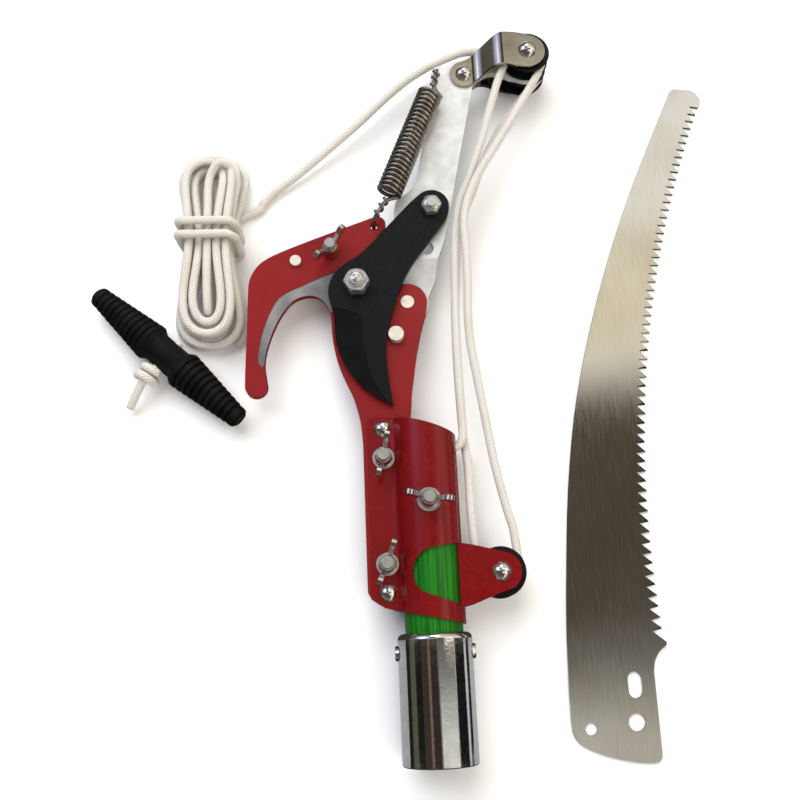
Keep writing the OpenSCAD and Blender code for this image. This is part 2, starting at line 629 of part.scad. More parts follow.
// a wing nut that stands on z, turned by a
module wing_nut(c, z, a) {
  b = wing_span / 2;
  translate([c.x, c.y, z]) rotate([0, 0, a]) difference() {
    union() {
      cylinder(d1 = hub_d, d2 = hub_d - 1.6, h = 6.4);
      for (s = [0, 180]) rotate([0, 0, s]) translate([0, 1.1, 0]) rotate([90, 0,
        0]) linear_extrude(height = 2.2)
        polygon(concat([[2.8, 2.4], [3.9, 3.2], [7, 7.2]], arc([b - 2.1, wing_h - 2.6], 2.3, -70, 150, 8),
          [[4.6, 8.6], [2.8, 6]]));
    }
    translate([0, 0, -1]) cylinder(d = bolt_d + 2 * fit, h = 30);
  }
}
module wing_nut_upper() {
  color("silver") wing_nut(clamp_at[0], flange_z + 1, 76);
}
module wing_nut_lower() {
  color("silver") wing_nut(clamp_at[1], flange_z + 1, 68);
}
module wing_nut_pole() {
  color("silver") wing_nut([0, pole_y], sleeve_o + 0.9, -11);
}
module wing_nut_saw() {
  color("silver") wing_nut(saw_at, face_z, 48);
}

// the return spring: hook, curls, hook
spring_z = face_z + spring_d / 2 + 0.5;
spring_way = unit([spring_high.x - spring_low.x, spring_high.y - spring_low.y, 0]);
spring_side = [spring_way.y, -spring_way.x, 0];
spring_span = norm(spring_high - spring_low);
curl_r = (spring_d - wire_d) / 2;
spring_bow = 2;
function on_axis(s, r, a) = [spring_low.x, spring_low.y, spring_z] + s * spring_way
  + spring_bow * ease(s / 14) * ease((spring_span - s) / 14) * spring_side
  + r * (cos(a) * spring_side + sin(a) * hub_up);
curl_s0 = 15.4;
curl_s1 = spring_span - 15.8;
spring_run = concat(
  [[spring_low.x, spring_low.y, -face_z - 0.4], [spring_low.x, spring_low.y, face_z],
    on_axis(0.4, 0, 0) - [0, 0, 3.2],
    on_axis(3, 0, 0) - [0, 0, 1], on_axis(8, 0, 0), on_axis(11.6, 0.6, 0), on_axis(13.6, 2.6, 0)],
  [for (k = [0:8 * spring_curls]) on_axis(mix(curl_s0, curl_s1, k / (8 * spring_curls)), curl_r, k * 45)],
  [on_axis(spring_span - 14, 2.6, 0), on_axis(spring_span - 12, 0.6, 0), on_axis(spring_span - 8, 0, 0),
    on_axis(spring_span - 3, 0, 0) - [0, 0, 1], on_axis(spring_span - 0.4, 0, 0) - [0, 0, 3.2],
    [spring_high.x, spring_high.y, lever_top], [spring_high.x, spring_high.y, lever_low - 0.4]]);
module return_spring() {
  color("dimgray") tube(spring_run, wire_d / 2, 6, unit([spring_way.x, spring_way.y, 0.02]));
}

// the rope
module rope_reeving() {
  color("ivory") tube(reeving, rope_r, 8, hub_up);
}
module rope_lead() {
  color("ivory") tube(lead_run, rope_r, 8, [0, 1, 0]);
}
module rope_hank() {
  color("ivory") tube(hank_run, rope_r, 6, hub_up);
}
module rope_tail() {
  color("ivory") tube(tail_run, rope_r, 8, hub_up);
}
module rope_knot() {
  color("ivory") tube(knot_run, rope_r, 8, [draw_way.x, draw_way.y, 0]);
}
module pull_handle() {
  h = handle_l / 2;
  r = handle_d / 2;
  rib = 3.3;
  half = concat([[0, h], [3.6, h], [4.9, h - 1.1]],
    [for (k = [0:10]) let (s = h - 2.2 - rib * k, w = mix(5.2, r, k / 10))
      each [[w, s], [w, s - 2], [w - 0.7, s - 2.5], [w - 0.7, s - 3]]],
    [[waist_r, 7.2]]);
  color("black") difference() {
    translate([handle_at.x, handle_at.y, handle_z]) rotate([0, 0, handle_a - 90]) rotate([90, 0, 0])
      rotate_extrude($fn = 40) polygon(concat(half, [for (q = flip(half)) [q.x, -q.y]]));
    translate(by_handle(-20, handle_z)) rotate([0, 0, handle_a - 90]) rotate([0, 90, 0])
      cylinder(r = rope_r + 0.2, h = 40);
  }
}

// the loose saw blade
module saw_blade() {
  color("lightgray") difference() {
    plate(saw_line, table_z, table_z + saw_t);
    hole([66.5, 10], 2.65);
    hole([86.6, 12], 3.75);
    for (y = [25, 30]) hole([87.4, y], 3.1);
    plate([[84.3, 25], [90.5, 25], [90.5, 30], [84.3, 30]], -40, 40);
  }
}

echo(spring_least_gap = self_gap(spring_run, wire_d, 6));
echo(hank_least_gap = self_gap(hank_run, rope_d, 6));
echo(lead_least_gap = self_gap(lead_run, rope_d, 8));
echo(lead_to_hank = min([for (a = lead_run) for (b = hank_run) norm(a - b)]) - rope_d);
echo(knot_least_gap = self_gap(knot_run, rope_d, 8));
echo(reeving_least_gap = self_gap(reeving, rope_d, 8));
echo(lengths = [for (c = [reeving, lead_run, hank_run, tail_run, knot_run]) run_length(c)]);

hook_plate();
clamp_sleeve();
pole_stub();
ferrule();
ferrule_rivets();
sleeve_rivets();
clamp_bolts();
clamp_washers();
pole_bolt();
saddle_washer();
saw_bolt();
saw_pin();
stop_pin();
lever_rivet();
pivot_bolt();
pivot_nut();
pivot_washer();
pulley_axle();
tie_knot();
blade();
link_bolt();
link_nut();
lever();
front_cheek();
back_cheek();
cheek_rivet();
sheave_axle();
front_sheave();
back_sheave();
lower_pulley();
wing_nut_upper();
wing_nut_lower();
wing_nut_pole();
wing_nut_saw();
return_spring();
rope_reeving();
rope_lead();
rope_hank();
rope_tail();
rope_knot();
pull_handle();
saw_blade();
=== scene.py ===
"""Looks of a pole pruner head kit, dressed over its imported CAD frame.

Lengths that repeat the part's source are in millimetres. They become metres where a mesh is made.
"""

import json
import math

import bmesh
import bpy
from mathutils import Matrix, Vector

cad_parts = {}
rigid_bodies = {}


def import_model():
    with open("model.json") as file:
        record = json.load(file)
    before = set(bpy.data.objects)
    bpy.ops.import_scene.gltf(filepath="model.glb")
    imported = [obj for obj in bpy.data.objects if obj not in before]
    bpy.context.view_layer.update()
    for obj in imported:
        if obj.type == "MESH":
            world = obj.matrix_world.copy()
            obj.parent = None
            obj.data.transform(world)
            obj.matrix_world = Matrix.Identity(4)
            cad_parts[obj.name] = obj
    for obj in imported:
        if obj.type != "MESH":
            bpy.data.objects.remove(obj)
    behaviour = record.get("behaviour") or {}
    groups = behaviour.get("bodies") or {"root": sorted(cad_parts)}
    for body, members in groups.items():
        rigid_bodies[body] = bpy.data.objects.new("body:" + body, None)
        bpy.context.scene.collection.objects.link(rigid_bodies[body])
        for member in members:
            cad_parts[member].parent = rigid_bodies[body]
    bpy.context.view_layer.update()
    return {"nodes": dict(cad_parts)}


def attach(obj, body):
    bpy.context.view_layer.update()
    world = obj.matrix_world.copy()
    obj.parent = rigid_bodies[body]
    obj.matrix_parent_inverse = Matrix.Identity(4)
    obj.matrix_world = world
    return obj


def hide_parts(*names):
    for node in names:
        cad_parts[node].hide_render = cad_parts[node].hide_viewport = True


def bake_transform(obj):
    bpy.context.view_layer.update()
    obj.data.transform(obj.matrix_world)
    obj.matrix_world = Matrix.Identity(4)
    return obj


MM = 0.001
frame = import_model()
scene = bpy.context.scene


# ---------------------------------------------------------------- shader maths
class Value:
    """A socket's value in a node tree. Arithmetic on it adds Math nodes."""

    def __init__(self, tree, socket):
        self.tree, self.socket = tree, socket

    def math(self, operation, *operands):
        return self.tree.add("Math", {"operation": operation}, dict(enumerate(operands)))

    def __add__(self, other):
        return self.math("ADD", self, other)

    def __sub__(self, other):
        return self.math("SUBTRACT", self, other)

    def __rsub__(self, other):
        return self.math("SUBTRACT", other, self)

    def __mul__(self, other):
        return self.math("MULTIPLY", self, other)

    __radd__ = __add__
    __rmul__ = __mul__

    def floor(self):
        return self.math("FLOOR", self)

    def fract(self):
        return self.math("FRACT", self)

    def sin(self):
        return self.math("SINE", self)

    def angle_from(self, other):
        """Degrees round from the other value's axis towards this one's."""
        return self.math("ARCTAN2", self, other) * (180 / math.pi)

    def rise(self, low, high, start=0.0, end=1.0):
        """A smooth step from start at low to end at high."""
        edges = {"From Min": low, "From Max": high, "To Min": start, "To Max": end}
        return self.tree.add("MapRange", {"interpolation_type": "SMOOTHSTEP"}, {"Value": self, **edges})

    def band(self, low, high, soft):
        """1 between low and high, with soft ends."""
        return self.rise(low - soft, low + soft) * self.rise(high - soft, high + soft, 1.0, 0.0)

    def shade(self, low, high):
        """A colour between two colours."""
        return self.tree.add("Mix", {"data_type": "RGBA"}, {0: self, 6: low, 7: high}, 2)

    def split(self):
        return [self.tree.add("SeparateXYZ", {}, {0: self}, axis) for axis in range(3)]

    def noise(self, scale, detail=3.0):
        return self.tree.add("TexNoise", {}, {"Vector": self, "Scale": scale, "Detail": detail})

    def stretch(self, x, y, z, turn=0.0):
        """Coordinates scaled along each axis and then turned about Z, in degrees."""
        turned = {"Vector": self, "Scale": (x, y, z), "Rotation": (0.0, 0.0, math.radians(turn))}
        return self.tree.add("Mapping", {}, turned)


class Tree:
    """A node tree. Every node but those it starts with comes from add."""

    def __init__(self, owner):
        owner.use_nodes = True
        self.nodes, self.links = owner.node_tree.nodes, owner.node_tree.links

    def add(self, kind, settings, inputs, out=0):
        node = self.nodes.new("ShaderNode" + kind)
        for name, setting in settings.items():
            setattr(node, name, setting)
        for name, value in inputs.items():
            self.feed(node.inputs[name], value)
        return Value(self, node.outputs[out])

    def feed(self, socket, value):
        if isinstance(value, Value):
            self.links.new(value.socket, socket)
        elif socket.type == "RGBA":
            socket.default_value = (*value, 1.0)
        else:
            socket.default_value = value


class Finish(Tree):
    """A material on one Principled shader."""

    def __init__(self, name, **fixed):
        self.material = bpy.data.materials.new(name)
        super().__init__(self.material)
        self.shader = self.nodes["Principled BSDF"]
        self.set(**fixed)

    def set(self, **values):
        for name, value in values.items():
            self.feed(self.shader.inputs[name.replace("_", " ")], value)

    def place(self, kind="Object"):
        return self.add("TexCoord", {}, {}, kind)

    def bump(self, height, distance, strength=1.0):
        relief = {"Height": height, "Distance": distance, "Strength": strength}
        self.set(Normal=self.add("Bump", {}, relief))


# ---------------------------------------------------------------- finishes
def enamel(name, low, high, rough, coat):
    f = Finish(name, Coat_Weight=coat, Coat_Roughness=0.08, Specular_IOR_Level=0.2)
    p = f.place()
    f.set(Base_Color=p.noise(30.0, 5.0).rise(0.25, 0.75).shade(low, high))
    f.set(Roughness=p.noise(240.0, 2.0).rise(0.3, 0.7, rough - 0.06, rough + 0.08))
    f.bump(p.noise(900.0, 1.0), 0.06 * MM, 0.35)
    return f


def metal(name, low, high, rough, spread=0.05, cloud=140.0, metallic=1.0, grain=None, depth=0.01, gloss=0.5):
    """Plated or bare metal with clouds of tone. A grain is the noise's scale along X, Y and Z."""
    f = Finish(name, Metallic=metallic, Specular_IOR_Level=gloss)
    p = f.place()
    f.set(Base_Color=p.noise(cloud, 5.0).rise(0.3, 0.7).shade(low, high))
    f.set(Roughness=p.noise(cloud * 1.7, 4.0).rise(0.25, 0.75, rough - spread, rough + spread))
    if grain:
        f.bump(p.stretch(*grain).noise(1.0), depth * MM, 0.6)
    return f


def thread(name, low, high, rough, pitch):
    """Zinc with a screw's ridges up the Z axis, for the bolts' free ends."""
    f = metal(name, low, high, rough, metallic=0.8)
    height = f.place().split()[2]
    f.bump((height * (2 * math.pi / (pitch * MM))).sin(), 0.12 * MM, 0.8)
    return f


def plastic(name, low, high, rough):
    f = Finish(name, Specular_IOR_Level=0.15)
    p = f.place()
    f.set(Base_Color=p.noise(90.0, 4.0).rise(0.35, 0.7).shade(low, high))
    f.set(Roughness=p.noise(200.0).rise(0.3, 0.7, rough - 0.07, rough + 0.07))
    f.bump(p.noise(2600.0, 2.0), 0.04 * MM, 0.5)
    return f


def braid(name, carriers, lay):
    """Plaited yarn: two families of strands that pass over and under each other round the rope, with painted
    shade darkening each strand towards its edges and in the gaps between strands.
    """
    f = Finish(name, Roughness=0.85, Sheen_Weight=0.2, Specular_IOR_Level=0.2)
    u, v, _ = f.place("UV").split()
    left, right = u * carriers + v * lay, u * carriers - v * lay
    over = ((left.floor() + right.floor()) * 0.5).fract() * 2.0
    height = (left.fract() * math.pi).sin() * over + (right.fract() * math.pi).sin() * (1 - over)
    p = f.place()
    # painted shade: the crowns get the yarn's own cream colour, which darkens where each strand dips to its
    # edges and into the gaps between strands
    yarn_with_painted_shade = height.rise(0.1, 0.75).shade((0.45, 0.41, 0.345), (0.8, 0.77, 0.71))
    stain = p.noise(38.0, 4.0).rise(0.5, 0.72, 0.0, 0.4)
    f.set(Base_Color=stain.shade(yarn_with_painted_shade, (0.6, 0.5, 0.38)))
    f.bump(height + p.noise(3500.0, 2.0) * 0.35, 0.22 * MM, 0.9)
    return f


def yarn_end(name):
    f = Finish(name, Roughness=0.9, Specular_IOR_Level=0.2)
    p = f.place()
    strands = p.stretch(900.0, 300.0, 900.0, 30.0).noise(1.0, 4.0)
    f.set(Base_Color=strands.rise(0.3, 0.7).shade((0.45, 0.41, 0.35), (0.78, 0.75, 0.69)))
    f.bump(strands, 0.2 * MM)
    return f


def lacquer(name, low, high):
    f = Finish(name, Coat_Weight=0.2, Coat_Roughness=0.06, Specular_IOR_Level=0.15)
    streak = f.place().stretch(900.0, 22.0, 900.0).noise(1.0, 4.0)
    f.set(Base_Color=streak.rise(0.3, 0.72).shade(low, high), Roughness=streak.rise(0.3, 0.7, 0.24, 0.4))
    f.bump(streak, 0.08 * MM, 0.5)
    return f


def brushed(name, low, high):
    f = Finish(name, Metallic=1.0)
    p = f.place()
    grain = p.stretch(1400.0, 70.0, 70.0, 12.0).noise(1.0, 4.0)
    tone = p.noise(24.0, 4.0) * 0.6 + grain * 0.4
    f.set(Base_Color=tone.rise(0.35, 0.65).shade(low, high), Roughness=grain.rise(0.3, 0.7, 0.08, 0.12))
    f.bump(grain, 0.006 * MM, 0.5)
    return f


RED = enamel("red_enamel", (0.185, 0.0065, 0.008), (0.225, 0.009, 0.0105), 0.34, 0.2)
SLEEVE_RED = enamel("sleeve_enamel", (0.146, 0.0024, 0.0036), (0.174, 0.0034, 0.005), 0.26, 0.2)
LAND = metal(
    "ground_land",
    (0.17, 0.17, 0.165),
    (0.36, 0.355, 0.34),
    rough=0.42,
    spread=0.1,
    cloud=60.0,
    metallic=0.6,
    grain=(1800.0, 260.0, 200.0),
    depth=0.03,
)
OXIDE = metal("black_oxide", (0.007, 0.007, 0.008), (0.01, 0.01, 0.0115), 0.42, 0.03, 400.0, 0.5, gloss=0.3)
GROUND = metal(
    "black_ground",
    (0.003, 0.003, 0.004),
    (0.006, 0.006, 0.007),
    rough=0.32,
    spread=0.05,
    cloud=160.0,
    metallic=0.5,
    grain=(500.0, 1500.0, 200.0),
    gloss=0.3,
)
EDGE = metal("worn_edge", (0.12, 0.09, 0.07), (0.24, 0.19, 0.15), 0.35, 0.08, 300.0)
LEVER = metal("lever_zinc", (0.56, 0.57, 0.56), (0.72, 0.73, 0.72), 0.33, 0.05, 130.0, 0.35)
NICKEL = metal(
    "nickel_plate",
    (0.39, 0.335, 0.255),
    (0.46, 0.405, 0.325),
    rough=0.1,
    spread=0.03,
    cloud=120.0,
    metallic=1.0,
    grain=(300.0, 1600.0, 300.0),
    depth=0.006,
)
CHROME = metal(
    "chrome_plate",
    (0.72, 0.72, 0.72),
    (0.82, 0.82, 0.82),
    rough=0.06,
    spread=0.03,
    cloud=180.0,
    metallic=1.0,
    grain=(1100.0, 700.0, 1100.0),
    depth=0.02,
)
BRIGHT = metal("bright_rivet", (0.74, 0.72, 0.68), (0.84, 0.83, 0.8), 0.1, 0.04, 300.0)
CREAM = metal("cream_rivet", (0.6, 0.57, 0.47), (0.76, 0.73, 0.62), 0.45, 0.1, 300.0, 0.3)
ZINC = metal("zinc_plate", (0.56, 0.55, 0.53), (0.72, 0.71, 0.69), 0.2, 0.08, 260.0, 0.8)
THREAD = thread("zinc_thread", (0.56, 0.55, 0.53), (0.72, 0.71, 0.69), 0.22, 0.8)
CAST = metal("cast_zinc", (0.5, 0.485, 0.455), (0.68, 0.665, 0.63), 0.15, 0.05, 340.0, 1.0)
WIRE = metal("spring_wire", (0.3, 0.265, 0.22), (0.46, 0.42, 0.365), 0.22, 0.05, 260.0)
SAW = brushed("saw_steel", (0.51, 0.48, 0.42), (0.62, 0.595, 0.55))
GREEN = lacquer("green_lacquer", (0.004, 0.068, 0.003), (0.016, 0.2, 0.011))
SHEAVE = plastic("sheave_plastic", (0.003, 0.003, 0.004), (0.008, 0.008, 0.009), 0.38)
HANDLE = plastic("handle_plastic", (0.003, 0.003, 0.003), (0.006, 0.006, 0.006), 0.55)
ROPE = braid("braided_rope", 8.0, 2.6)
YARN = yarn_end("rope_end")


# ---------------------------------------------------------------- mesh helpers
SHARP = 40.0


def piece(name, bm, *finishes):
    """A mesh object made of a bmesh, with its finishes in order."""
    mesh = bpy.data.meshes.new(name)
    bm.normal_update()
    bm.to_mesh(mesh)
    bm.free()
    for finish in finishes:
        mesh.materials.append(finish.material)
    obj = bpy.data.objects.new(name, mesh)
    scene.collection.objects.link(obj)
    return obj


def cad_copy(node):
    """A CAD node's mesh with its triangles joined into the flat faces they came from."""
    bm = bmesh.new()
    bm.from_mesh(frame["nodes"][node].data)
    bmesh.ops.remove_doubles(bm, verts=bm.verts, dist=1e-6)
    bmesh.ops.dissolve_limit(bm, angle_limit=math.radians(0.5), verts=bm.verts, edges=bm.edges)
    return bm


def bevel(bm, edges, width, segments, clamp=True):
    bmesh.ops.bevel(
        bm,
        geom=edges,
        offset=width * MM,
        offset_type="OFFSET",
        segments=segments,
        profile=0.5,
        affect="EDGES",
        clamp_overlap=clamp,
        material=-1,
    )


def sharp_edges(bm, angle):
    """Edges whose two faces turn by more than an angle in degrees."""
    pairs = [e for e in bm.edges if len(e.link_faces) == 2]
    return [e for e in pairs if e.calc_face_angle() > math.radians(angle)]


def shade_smooth(bm):
    """Shades all faces smoothly, with hard lines only along sharp edges."""
    for face in bm.faces:
        face.smooth = True
    for edge in sharp_edges(bm, SHARP):
        edge.smooth = False


def dress(node, bm, slot, *finishes):
    """Puts a worked copy of a CAD node in the node's place, on the same body."""
    shade_smooth(bm)
    obj = piece(node + "_shape", bm, *finishes)
    obj.modifiers.new("even_normals", "WEIGHTED_NORMAL").keep_sharp = True
    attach(obj, frame["nodes"][node].parent.name.split(":")[1])
    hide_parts(node)


def ease_edges(node, width, slot, *finishes, limit=SHARP, choose=None):
    """Takes the sharp outer edges off a CAD node. choose() numbers a face's finish among the finishes."""
    bm = cad_copy(node)
    bevel(bm, [e for e in sharp_edges(bm, limit) if e.is_convex], width, 3)
    bm.normal_update()
    if choose:
        for face in bm.faces:
            face.material_index = choose(face.calc_center_median() / MM, face.normal)
    dress(node, bm, slot, *finishes)


def catmull(points, n):
    """A smooth run through the points, with n steps between two of them."""
    p = [Vector(q) for q in points]
    last = len(p) - 1
    run = []
    for i in range(last):
        a, b, c, d = p[max(i - 1, 0)], p[i], p[i + 1], p[min(i + 2, last)]
        for t in (k / n for k in range(n)):
            square, cube = 2 * a - 5 * b + 4 * c - d, 3 * b - a - 3 * c + d
            run.append(0.5 * (2 * b + (c - a) * t + square * t**2 + cube * t**3))
    return run + [p[last]]


def length_of(run):
    return sum((b - a).length for a, b in zip(run, run[1:]))


def spaced(points, step):
    """The same run with its points about a step apart."""
    total = length_of(points)
    count = max(2, round(total / step))
    run, i, gone = [points[0]], 0, 0.0
    for want in (total * k / count for k in range(1, count)):
        while gone + (points[i + 1] - points[i]).length < want:
            gone += (points[i + 1] - points[i]).length
            i += 1
        run.append(points[i].lerp(points[i + 1], (want - gone) / (points[i + 1] - points[i]).length))
    return run + [points[-1]]


def tube(name, run, radius, sides, finish):
    """A round tube along a run. Its UV map counts turns round the tube and diameters along it."""
    bm = bmesh.new()
    uv = bm.loops.layers.uv.new("UVMap")
    side = (run[1] - run[0]).orthogonal().normalized()
    turns = [2 * math.pi * k / sides for k in range(sides)]
    rings, along = [], [0.0]
    for i, point in enumerate(run):
        way = (run[min(i + 1, len(run) - 1)] - run[max(i - 1, 0)]).normalized()
        side = (side - way * side.dot(way)).normalized()
        other = way.cross(side)
        rim = [point + radius * (math.cos(a) * side + math.sin(a) * other) for a in turns]
        rings.append([bm.verts.new(q * MM) for q in rim])
        if i:
            along.append(along[-1] + (point - run[i - 1]).length / (2 * radius))
    for i in range(len(rings) - 1):
        for k in range(sides):
            m = (k + 1) % sides
            face = bm.faces.new((rings[i][k], rings[i][m], rings[i + 1][m], rings[i + 1][k]))
            face.smooth = True
            for loop, (a, b) in zip(face.loops, ((k, i), (k + 1, i), (k + 1, i + 1), (k, i + 1))):
                loop[uv].uv = (a / sides, along[b])
    bm.faces.new(rings[0][::-1])
    bm.faces.new(rings[-1])
    return piece(name, bm, finish)


# ---------------------------------------------------------------- camera
data = bpy.data.cameras.new("camera")
data.sensor_width = 36.0
data.lens = 40.5
data.clip_start = 0.01
camera = bpy.data.objects.new("camera", data)
camera.location = Vector((-15.1, 46.7, 399.0)) * MM
camera.rotation_euler = (math.radians(15.5), 0.0, math.radians(-2.4))
scene.collection.objects.link(camera)
scene.camera = camera


# ---------------------------------------------------------------- the rope's routes, as in the part's source
TABLE, ROPE_R, ROPE_D = -16.0, 2.0, 4.0
TOP_AXLE, LOW_AXLE = (60.5, 332.7), (30.0, 77.3)
RUN_R = 8.75
FRONT, BACK = 6.55, -6.05
TIE_Y, OFF = 134.0, 80.0


def lap(c, z, a0, a1, n):
    """The rope round a wheel's groove, from a0 to a1 degrees."""
    turns = [math.radians(a0 + (a1 - a0) * k / n) for k in range(n + 1)]
    return [Vector((c[0] + RUN_R * math.cos(a), c[1] + RUN_R * math.sin(a), z)) for a in turns]


leg_up = [(14.25, TIE_Y, 0), (17, 137.4, 0.6), (17.4, 146, 1.4), (17, 165, 2.4), (17, 190, 3), (18, 215, 3.4)]
leg_up += [(19.6, 238, 3.8), (22.8, 254.6, 4.2), (27.6, 266, 4.4), (35.2, 287.4, 5)]
leg_up += [(40, 303, 5.8), (45.6, 320, 6.3)]
leg_down = [(64.8, 321, 6.7), (56, 306, 7.5), (44, 286, 8.4), (33.4, 269, 9), (27, 256, 9.2), (23.6, 243, 9)]
leg_down += [(23.6, 228, 8.2), (23.6, 212, 7.2), (22.8, 197, 6.4), (23, 183, 5.8)]
leg_down += [(24.8, 168, 5), (27, 152, 4)]
leg_down += [(30.4, 127, 2.4), (34, 109, 1), (37.2, 95.5, 0.3)]
leg_back = [(20.2, 86, 0), (19.2, 97, -0.4), (18.9, 110, -1.4), (19.1, 126, -3), (18, 138, -3.9)]
leg_back += [(17.4, 152, -3.6), (17, 171, -2.9), (17.2, 187, -2.6), (17.6, 202, -2.6), (19, 217, -2.8)]
leg_back += [(20.6, 233, -3.2), (24, 249, -3.6), (29.6, 263, -4), (38, 284, -4.8), (49, 304, -5.6)]
leg_back += [(59, 317.4, -6)]
reeving = [Vector((6.6, TIE_Y, 0)), Vector((10.4, TIE_Y, 0))] + catmull(leg_up, 2)
reeving += lap(TOP_AXLE, FRONT, 150, -30, 9) + catmull(leg_down, 2) + lap(LOW_AXLE, 0.0, -4, -176, 8)
reeving += catmull(leg_back, 2) + lap(TOP_AXLE, BACK, -36, OFF, 7)

lead_on = reeving[-1] + 0.05 * Vector((-math.sin(math.radians(OFF)), math.cos(math.radians(OFF)), 0))
lead_points = [lead_on, (52, 344, BACK), (45, 345.2, -6), (38.2, 345.8, -6), (32, 345.8, -5.9)]
lead_points += [(25.6, 344.2, -5.9), (12.8, 338.4, -6), (0, 330.2, -6.3), (-13, 319.2, -7.1)]
lead_points += [(-25.8, 307.2, -8.3), (-44.8, 291.4, -10.6), (-57.2, 281.4, -12), (-69.8, 272.2, -13.3)]
lead_points += [(-79, 262.4, TABLE + ROPE_R)]

HANK_X, HANK_Y, HANK_L = -99.4, 240.0, 106.0
LAYER, WRAP_R = ROPE_D + 0.62, ROPE_D + 0.7
LANE = (4.3, 8.85)
HANK_Z = TABLE + ROPE_R + WRAP_R
LANES = (1, 1, 0, 0, 0, 1, 1, 1, 0, 0, 0, 1, 1)
FLOORS = ((0, 0), (0, 0), (0, 0), (0, 1), (1, 1), (1, 1), (1, 2))
FLOORS += ((2, 2), (2, 2), (2, 3), (3, 3), (3, 3), (3, 3))
LAST_HALF = len(LANES) - 1
# the loops swell past their lanes, less in each layer, and the inner lane and the upper layers are shorter
SWELL, SWELL_LOSS, LANE_CUT, LAYER_CUT = (19.6, 27.0), 0.16, 5.8, 1.5
HANK_FROM, HANK_ROUND, HANK_STEPS, CORE_STEPS = 20, 2280, 900, 14
WAIST_Y, WRAP_PITCH, WRAP_GAP, WRAP_STEPS = 250.6, 0.44, 0.35, 32
# the last run through the hank's middle: place across in mm, share of its length, and layer
CORE = [(8.6, 0.37, 3.1), (5, 0.37, 3.34), (1.6, 0.33, 3), (0, 0.27, 2.8), (0, 0.155, 2.97), (0, 0, 3)]
CORE += [(0, -0.155, 2.97), (0, -0.27, 2.6), (0, -0.325, 2.1), (0, -0.335, 1.55), (0, -0.31, 1.05)]
CORE += [(0, -0.23, 1.28), (0, 0, 2), (0, 0.195, 1.75), (0, 0.27, 1.5)]


def mix(a, b, t):
    return a + (b - a) * t


def ease(t):
    u = min(1.0, max(0.0, t))
    return u * u * (3 - 2 * u)


def hank_point(t):
    """The coiled rope at t degrees round its loops, which lie in two lanes and four layers."""
    i = min(LAST_HALF, max(0, math.floor((t - 90) / 180)))
    across = ease((t - 180 * (i + 1) + 60) / 120)
    lane = LANES[0] if t < 90 else mix(LANES[i], LANES[min(LAST_HALF, i + 1)], across)
    j = min(LAST_HALF, math.floor(t / 180))
    layer = mix(*FLOORS[j], ease((t - 180 * j - 30) / 120))
    a = math.radians(t - 90)
    s = math.sin(a) ** 2
    out = mix(*LANE, lane) + mix(*SWELL, lane) * (1 - SWELL_LOSS * layer) * s
    up = HANK_L / 2 - ROPE_R - mix(LANE_CUT, 0.0, lane) - LAYER_CUT * layer
    x, y = HANK_X + math.cos(a) * out, HANK_Y + math.sin(a) * up
    return Vector((x, y, HANK_Z + LAYER * layer - WRAP_R * s * s))


def coiled():
    """The loops and then the last run, which goes down and up through the hank's middle."""
    loops = [hank_point(HANK_FROM + k * HANK_ROUND / HANK_STEPS) for k in range(HANK_STEPS + 1)]
    core = [Vector((HANK_X + x, HANK_Y + HANK_L * y, HANK_Z + LAYER * z)) for x, y, z in CORE]
    return loops + catmull([loops[-13], loops[-1], *core], CORE_STEPS)[CORE_STEPS + 1 :]


def wrap_point(k):
    """The lead's two turns round the hank's waist, with four points to a corner."""
    q = k // 4
    a = math.radians(270 - 90 * q - 30 * (k % 4))
    x = (-1, -1, 1, 1)[q % 4] * (LANE[1] + WRAP_GAP) + WRAP_R * math.cos(a)
    z = LAYER * (1.5 + 1.5 * (-1, 1, 1, -1)[q % 4]) + WRAP_R * math.sin(a)
    return Vector((HANK_X + x, WAIST_Y - WRAP_PITCH * k, HANK_Z + z))


HANDLE_AT, HANDLE_A, HANDLE_Z = (-119.6, 185.2), math.radians(-43.3), TABLE + 9.3
DRAW = Vector((math.sin(HANDLE_A), -math.cos(HANDLE_A), 0))
KNOT_R, KNOT_AT, KNOT_STEPS = ROPE_D + 0.3, 7.4 + ROPE_R - 0.25, 88


def by_handle(s, z):
    """A place on the rope's way through the handle, s from the handle's middle."""
    return Vector((*HANDLE_AT, z)) + s * DRAW


def knot_point(k):
    """The stop knot's turns round the tail, fifteen steps to a turn."""
    a = math.radians(30 + k * 24)
    across = Vector((-DRAW.y, DRAW.x, 0)) * KNOT_R * math.cos(a)
    return by_handle(KNOT_AT + (ROPE_D + 0.5) * k / 15, HANDLE_Z + KNOT_R * math.sin(a)) + across


tail_points = [by_handle(s, HANDLE_Z) for s in (-8.6, -5, 3, 11)]
tail_points += [by_handle(17, HANDLE_Z - 0.4), (-134.4, 167.6, -9), (-138, 162, -12.4)]

wraps = [wrap_point(k) for k in range(WRAP_STEPS + 1)]
RUNS = {
    "rope_reeving": spaced(catmull(reeving, 4), 1.3),
    "rope_lead": spaced(catmull(catmull(lead_points, 2) + wraps, 4), 1.3),
    "rope_hank": spaced(coiled(), 1.4),
    "rope_tail": spaced(catmull(tail_points, 8), 1.2),
    "rope_knot": spaced([knot_point(k / 4) for k in range(KNOT_STEPS + 1)], 1.2),
}
BENDS = {
    "rope_reeving": ((20, 160, 0), (20, 238, 0)),
    "rope_lead": ((-70, 275, 0), (30, 345, 0)),
    "return_spring": ((-19.5, 244.5, 0), (15.5, 327.5, 0)),
}


def bend_with_lever(obj):
    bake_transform(obj)


ropes = {}
for node, run in RUNS.items():
    ropes[node] = tube(node + "_braid", run, ROPE_R, 14, ROPE)
    if node in BENDS:
        bend_with_lever(ropes[node])
    else:
        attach(ropes[node], "head")
    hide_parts(node)


def declare_cord(node):
    run = [q * MM for q in RUNS[node]]
    length_of(run)


declare_cord("rope_lead")
declare_cord("rope_hank")
declare_cord("rope_tail")


